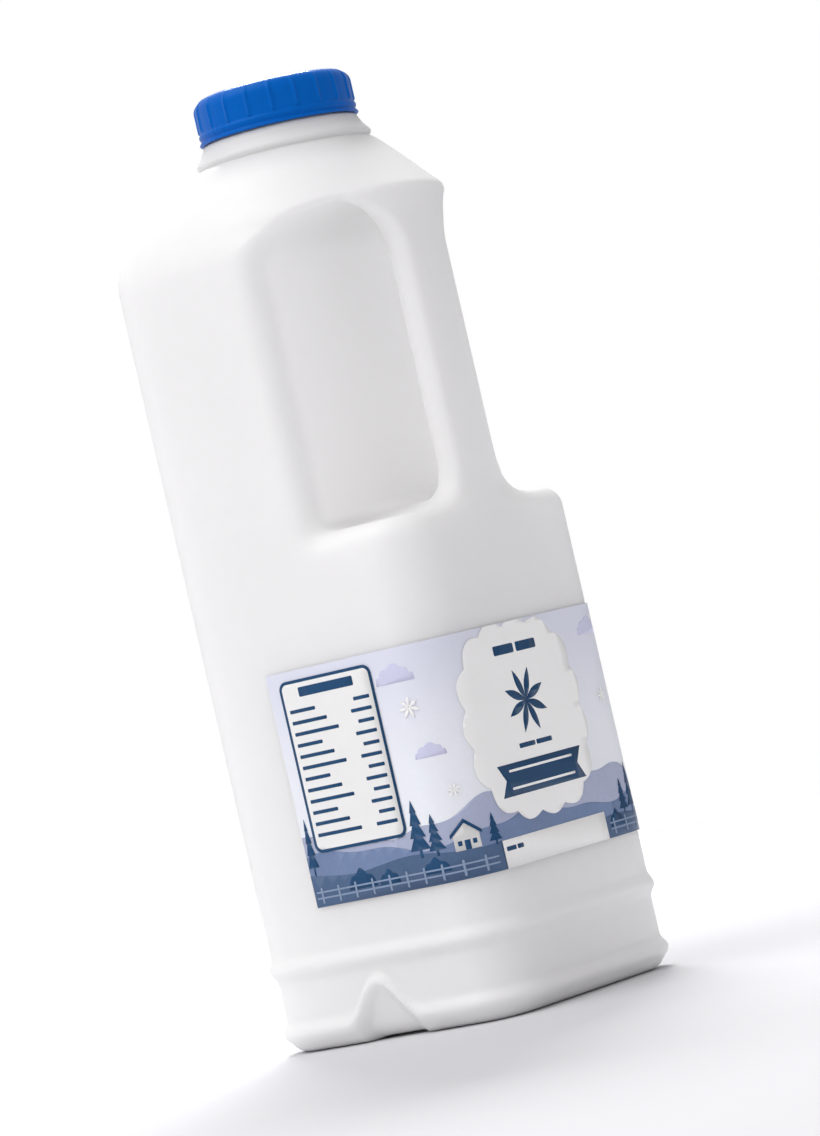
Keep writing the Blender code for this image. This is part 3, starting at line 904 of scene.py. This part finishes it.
class BuildLabel(bpy.types.Operator):
    """Build the label's film and its printed fields"""

    bl_idname = "milk_bottle.label"
    bl_label = "Label and print"

    def execute(self, context):
        body = context.scene.milk_bottle
        size = context.scene.milk_label
        colors = context.scene.milk_finishes
        strip = Strip(body, size.thickness)
        foot = size.foot / MM
        top = size.top / MM
        lines = [LABEL_START] + [u for u in cut_lines() if LABEL_START < u < LABEL_END] + [LABEL_END]
        u = np.array(lines) * MM
        rows = []
        for lift, z in ((FILM_GAP, size.foot), (FILM_GAP + size.thickness, size.foot),
                        (FILM_GAP + size.thickness, size.top), (FILM_GAP, size.top)):
            rows.append(strip.at(u, z, lift))
        count = len(u)
        faces = []
        for n in range(count - 1):
            for side in range(4):
                after = (side + 1) % 4
                low, high = side * count + n, after * count + n
                faces.append((low, low + 1, high + 1, high))
        faces.append(tuple(side * count for side in range(4)))
        faces.append(tuple(side * count + count - 1 for side in range(4)))
        sky = tuple(colors.sky)
        film = finish("Printed sky", sky, 0.36, 0.03, (45.0, 900.0), 0.01 * MM, 300.0,
                      painted_shade_and_print_fade=(tuple(colors.sky_top), 62 * MM, 96 * MM))
        piece = mesh_object("label_film", np.vstack(rows), faces, film, sharp=40)
        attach(piece, BODY)
        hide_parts("label")
        self.scenery(strip, foot, colors)
        self.front(strip, foot, top, colors)
        self.panel(strip, colors)
        return {"FINISHED"}

    def scenery(self, strip, foot, colors):
        """Clouds, hills, trees, bushes, fence and cottages"""
        left, right = LABEL_START, LABEL_END
        navy = tuple(colors.navy)
        white = tuple(colors.white)
        pale = finish("Ink pale blue", (0.42, 0.46, 0.62), 0.36, 0.08, (60.0, 900.0))
        middle = finish("Ink middle blue", (0.17, 0.24, 0.41), 0.36, 0.10, (60.0, 900.0))
        deep = finish("Ink deep blue", (0.07, 0.125, 0.235), 0.36, 0.12, (80.0, 900.0))
        dark = finish("Ink navy", navy, 0.34, 0.10, (80.0, 900.0))
        haze = finish("Ink haze", (0.64, 0.65, 0.84), 0.36, 0.04, (60.0, 900.0))
        printed("print_clouds", strip, [
            cloud(-46, 86.0, 2.6), cloud(-41, 66.5, 1.9), cloud(27.5, 87.0, 2.4), cloud(47, 78, 3.0),
            cloud(62, 88, 2.2)], 1, haze)
        printed("print_far_hills", strip, [under(far_hills, left, right, foot)], 1, pale)
        printed("print_near_hills", strip, [under(near_hills, left, right, foot)], 2, middle)
        printed("print_meadow", strip, [
            under(meadow, left, -28.3, foot), under(lambda u: meadow(u) - 2.6, 15.8, right, foot)], 3, deep)
        trees = [pine(-49.4, 42.6, 14.5, 6.2), pine(-44.6, 42.4, 10.5, 4.8), pine(-29.8, 42.0, 8.0, 3.8),
                 pine(-83.0, 43.4, 14.5, 3.4), pine(25.5, 40.6, 9.0, 4.2), pine(30.0, 40.4, 13.0, 5.4),
                 pine(44.0, 40.4, 15.0, 6.2), pine(49.5, 40.2, 10.5, 4.6), pine(66.0, 40.0, 13.0, 5.4)]
        bushes = [bush(-69.0, 38.2, 9.0, 4.6), bush(-60.5, 38.0, 6.5, 3.4), bush(-46.0, 38.3, 8.0, 3.6),
                  bush(21.0, 38.0, 6.5, 4.0), bush(37.0, 38.0, 9.0, 4.6), bush(57.0, 38.0, 8.0, 4.4)]
        printed("print_trees", strip, trees + bushes, 4, dark)
        rails = []
        for start, end in ((-84.0, -30.0), (17.5, 70.0)):
            rails.append(rounded_box(start, 37.4, end, 37.8, 0.1, 2))
            rails.append(rounded_box(start, 38.9, end, 39.3, 0.1, 2))
        posts = []
        for start, end in ((-82.5, -31.0), (19.0, 69.0)):
            at = start
            while at < end:
                posts.append(rounded_box(at, 36.2, at + 0.6, 40.2, 0.15, 2))
                at += 5.4
        rail_ink = finish("Ink fence", (0.25, 0.33, 0.48), 0.36, 0.08, (80.0, 900.0))
        printed("print_fence_rails", strip, rails, 5, rail_ink)
        printed("print_fence_posts", strip, posts, 6, rail_ink)
        wall = finish("Ink cottage wall", shade(white, 0.78), 0.36, 0.06, (80.0, 900.0))
        printed("print_cottage", strip, [cottage(*place) for place in COTTAGES], 4, wall)
        roofs = []
        for start, low, wide, tall in COTTAGES:
            eave = low + 0.5 * tall
            peak = low + tall
            middle_u = start + wide / 2
            left_eave, right_eave = start - 0.7, start + wide + 0.7
            roofs.append([(left_eave, eave), (middle_u, peak), (right_eave, eave),
                          (right_eave, eave + 0.9), (middle_u, peak + 1.1), (left_eave, eave + 0.9)])
            roofs.append(rounded_box(middle_u - 0.7, low, middle_u + 0.7, low + 2.4, 0.1, 2))
            roofs.append(rounded_box(middle_u - 2.3, low + 1.2, middle_u - 1.3, low + 2.4, 0.1, 2))
            roofs.append(rounded_box(middle_u + 1.3, low + 1.2, middle_u + 2.3, low + 2.4, 0.1, 2))
        printed("print_cottage_roof", strip, roofs, 5, dark)

    def front(self, strip, foot, top, colors):
        """White field with a flower over a ribbon, daisies and the box for a date"""
        navy = tuple(colors.navy)
        # The white print on the front is 1.1 times the panel's white, the same ink: painted light that lifts
        # the shaded front face
        white = finish("Ink white with painted light", shade(colors.white, 1.1), 0.38, 0.015, (60.0, 900.0))
        ink = finish("Ink front navy", shade(navy, 0.9), 0.34, 0.10, (80.0, 900.0))
        field = badge(-7.3, 70.4, 49.6, 50.0, 15, 0.07, top)
        daisies = []
        for u, z, radius in ((-43.6, 79.4, 2.9), (-37.4, 57.4, 1.9), (26.6, 71.0, 2.2), (38.0, 62.5, 2.8)):
            for n in range(7):
                turn = 2 * math.pi * n / 7 + 0.2 * radius
                daisies.append(petal(u, z, turn, radius, 0.3 * radius))
        printed("print_white_field", strip, [field] + daisies, 7, white)
        box = [(-28.3, foot), (15.8, foot), (15.8, 42.4), (-28.3, 42.4)]
        printed("print_date_box", strip, [box], 7, white)
        middle = -6.2
        petals = [petal(middle, 74.6, 2 * math.pi * n / 8 + 0.39, 8.6, 2.2) for n in range(8)]
        printed("print_flower", strip, petals, 8, ink)
        rows = words(middle - 9.0, middle + 9.0, 86.8, 2.4, (1, 1), 0.4)
        rows += words(middle - 7.0, middle + 7.0, 63.2, 1.2, (1, 1), 0.3)
        printed("print_front_rows", strip, rows, 8, ink)
        low, high = 52.2, 60.2
        waist = (low + high) / 2
        ribbon = [(middle - 18.0, low), (middle + 18.0, low), (middle + 15.4, waist), (middle + 18.0, high),
                  (middle - 18.0, high), (middle - 15.4, waist)]
        printed("print_ribbon", strip, [ribbon], 8, ink)
        lines = [rounded_box(middle - 13.6, z, middle + 13.6, z + 0.6, 0.2, 2)
                 for z in (low + 1.5, high - 2.1)]
        printed("print_ribbon_line", strip, lines, 9, white)
        printed("print_date_rows", strip, words(-27.4, -20.6, 39.6, 1.1, (3, 2), 0.2), 8, ink)

    def panel(self, strip, colors):
        """Framed panel with a table of plain bars"""
        navy = tuple(colors.navy)
        white = finish("Ink panel white", tuple(colors.white), 0.38, 0.015, (60.0, 900.0))
        ink = finish("Ink panel navy", navy, 0.34, 0.10, (80.0, 900.0))
        left, right, low, high = -81.2, -52.2, 48.7, 92.2
        printed("print_panel_border", strip, [rounded_box(left, low, right, high, 2.3, 8)], 7, ink)
        inner = rounded_box(left + 0.8, low + 0.8, right - 0.8, high - 0.8, 1.6, 8)
        printed("print_panel", strip, [inner], 8, white)
        a, b = left + 1.9, right - 1.9
        rows = words(a + 4.0, b - 4.0, 87.8, 2.4, (1,), 0.3)
        for n in range(12):
            z = 84.0 - 2.85 * n
            rows += words(a, a + 8.0 + 3.0 * (n % 3), z, 0.9, (1,), 0.2)
            rows += words(b - 5.0 - 1.5 * (n % 2), b, z, 0.9, (1,), 0.2)
        printed("print_panel_rows", strip, rows, 9, ink)


FLOOR_RADIUS = 0.7
FLOOR_SIDES = 48
CAMERA_AZIMUTH = math.radians(-53)
CAMERA_ROLL = math.radians(12.95)
CAMERA_DISTANCE = 1.27
CAMERA_HEIGHT = 0.0955
CAMERA_LENS = 158.2
TARGET_RIGHT = 0.0074
TARGET_HEIGHT = 0.1133

# Name, place in metres, size in metres and power in watts
LAMPS = (("Key", (-0.95, 0.45, 1.95), 2.0, 21.0), ("Back", (0.95, 0.72, 1.4), 0.65, 26.0))
LAMP_AIM = Vector((0, 0, 0.1))
FILL_WAY = (-0.98, 0.2, 0.0)
FILL_LOW = 0.39
FILL_HIGH = 0.86


class BuildStage(bpy.types.Operator):
    """Set the floor, the lights, the world and the camera"""

    bl_idname = "milk_bottle.stage"
    bl_label = "Studio"

    def execute(self, context):
        scene = context.scene
        toward = Vector((math.sin(CAMERA_AZIMUTH), -math.cos(CAMERA_AZIMUTH), 0))
        rightward = Vector((math.cos(CAMERA_AZIMUTH), math.sin(CAMERA_AZIMUTH), 0))
        paper = finish("Studio paper", (0.66, 0.66, 0.675), 0.85, 0.004, (3.0, 60.0))
        corners = [(FLOOR_RADIUS * math.cos(turn), FLOOR_RADIUS * math.sin(turn), -0.2 * MM)
                   for turn in np.linspace(0, 2 * math.pi, FLOOR_SIDES, endpoint=False)]
        floor = mesh_object("studio_floor", corners, [tuple(range(FLOOR_SIDES))], paper)

        camera_data = bpy.data.cameras.new("Camera")
        camera = bpy.data.objects.new("Camera", camera_data)
        scene.collection.objects.link(camera)
        camera_data.sensor_width = 36.0
        camera_data.lens = CAMERA_LENS
        camera.location = toward * CAMERA_DISTANCE + Vector((0, 0, CAMERA_HEIGHT))
        target = rightward * TARGET_RIGHT + Vector((0, 0, TARGET_HEIGHT))
        ahead = (target - camera.location).normalized()
        right = ahead.cross(Vector((0, 0, 1))).normalized()
        upward = right.cross(ahead)
        turned_right = right * math.cos(CAMERA_ROLL) - upward * math.sin(CAMERA_ROLL)
        turned_up = upward * math.cos(CAMERA_ROLL) + right * math.sin(CAMERA_ROLL)
        camera.rotation_euler = Matrix((turned_right, turned_up, -ahead)).transposed().to_euler()
        scene.camera = camera

        for name, place, size, power in LAMPS:
            lamp = bpy.data.lights.new(name, "AREA")
            lamp.shape = "DISK"
            lamp.size = size
            lamp.energy = power
            light = bpy.data.objects.new(name, lamp)
            scene.collection.objects.link(light)
            light.location = place
            light.rotation_euler = (Vector(place) - LAMP_AIM).to_track_quat("Z", "Y").to_euler()
        world = bpy.data.worlds.new("Studio air")
        world.use_nodes = True
        nodes, links = world.node_tree.nodes, world.node_tree.links
        seen = nodes.new("ShaderNodeLightPath")
        lit = nodes["Background"]
        lit.inputs["Color"].default_value = (1.0, 0.98, 1.0, 1.0)
        way = nodes.new("ShaderNodeTexCoord")
        along = nodes.new("ShaderNodeVectorMath")
        along.operation = "DOT_PRODUCT"
        along.inputs[1].default_value = FILL_WAY
        level = nodes.new("ShaderNodeMapRange")
        level.inputs["From Min"].default_value = -1.0
        level.inputs["To Min"].default_value = FILL_LOW
        level.inputs["To Max"].default_value = FILL_HIGH
        links.new(way.outputs["Generated"], along.inputs[0])
        links.new(along.outputs["Value"], level.inputs["Value"])
        links.new(level.outputs["Result"], lit.inputs["Strength"])
        plain = nodes.new("ShaderNodeBackground")
        plain.inputs["Color"].default_value = (1.0, 1.0, 1.0, 1.0)
        blend = nodes.new("ShaderNodeMixShader")
        links.new(seen.outputs["Is Camera Ray"], blend.inputs[0])
        links.new(lit.outputs[0], blend.inputs[1])
        links.new(plain.outputs[0], blend.inputs[2])
        links.new(blend.outputs[0], nodes["World Output"].inputs["Surface"])
        scene.world = world
        scene.view_settings.view_transform = "Standard"
        return {"FINISHED"}


class MilkBottlePanel(bpy.types.Panel):
    """Lists the pieces of the milk bottle and their sizes"""

    bl_idname = "VIEW3D_PT_milk_bottle"
    bl_label = "Milk Bottle"
    bl_space_type = "VIEW_3D"
    bl_region_type = "UI"
    bl_category = "Milk Bottle"

    def draw(self, context):
        layout = self.layout
        for group in (context.scene.milk_bottle, context.scene.milk_cap, context.scene.milk_label,
                      context.scene.milk_finishes):
            box = layout.box()
            for name in group.__annotations__:
                box.prop(group, name)
        for operator in OPERATORS:
            layout.operator(operator.bl_idname)


OPERATORS = (BuildBottle, BuildCap, BuildLabel, BuildStage)
GROUP_CLASSES = (BottleSizes, CapSizes, LabelSizes, Finishes)
CLASSES = GROUP_CLASSES + OPERATORS + (MilkBottlePanel,)


def register():
    for cls in CLASSES:
        bpy.utils.register_class(cls)
    bpy.types.Scene.milk_bottle = bpy.props.PointerProperty(type=BottleSizes)
    bpy.types.Scene.milk_cap = bpy.props.PointerProperty(type=CapSizes)
    bpy.types.Scene.milk_label = bpy.props.PointerProperty(type=LabelSizes)
    bpy.types.Scene.milk_finishes = bpy.props.PointerProperty(type=Finishes)


def unregister():
    del bpy.types.Scene.milk_finishes
    del bpy.types.Scene.milk_label
    del bpy.types.Scene.milk_cap
    del bpy.types.Scene.milk_bottle
    for cls in reversed(CLASSES):
        bpy.utils.unregister_class(cls)


def main():
    register()
    bpy.ops.milk_bottle.bottle()
    bpy.ops.milk_bottle.cap()
    bpy.ops.milk_bottle.label()
    bpy.ops.milk_bottle.stage()


if __name__ == "__main__":
    main()
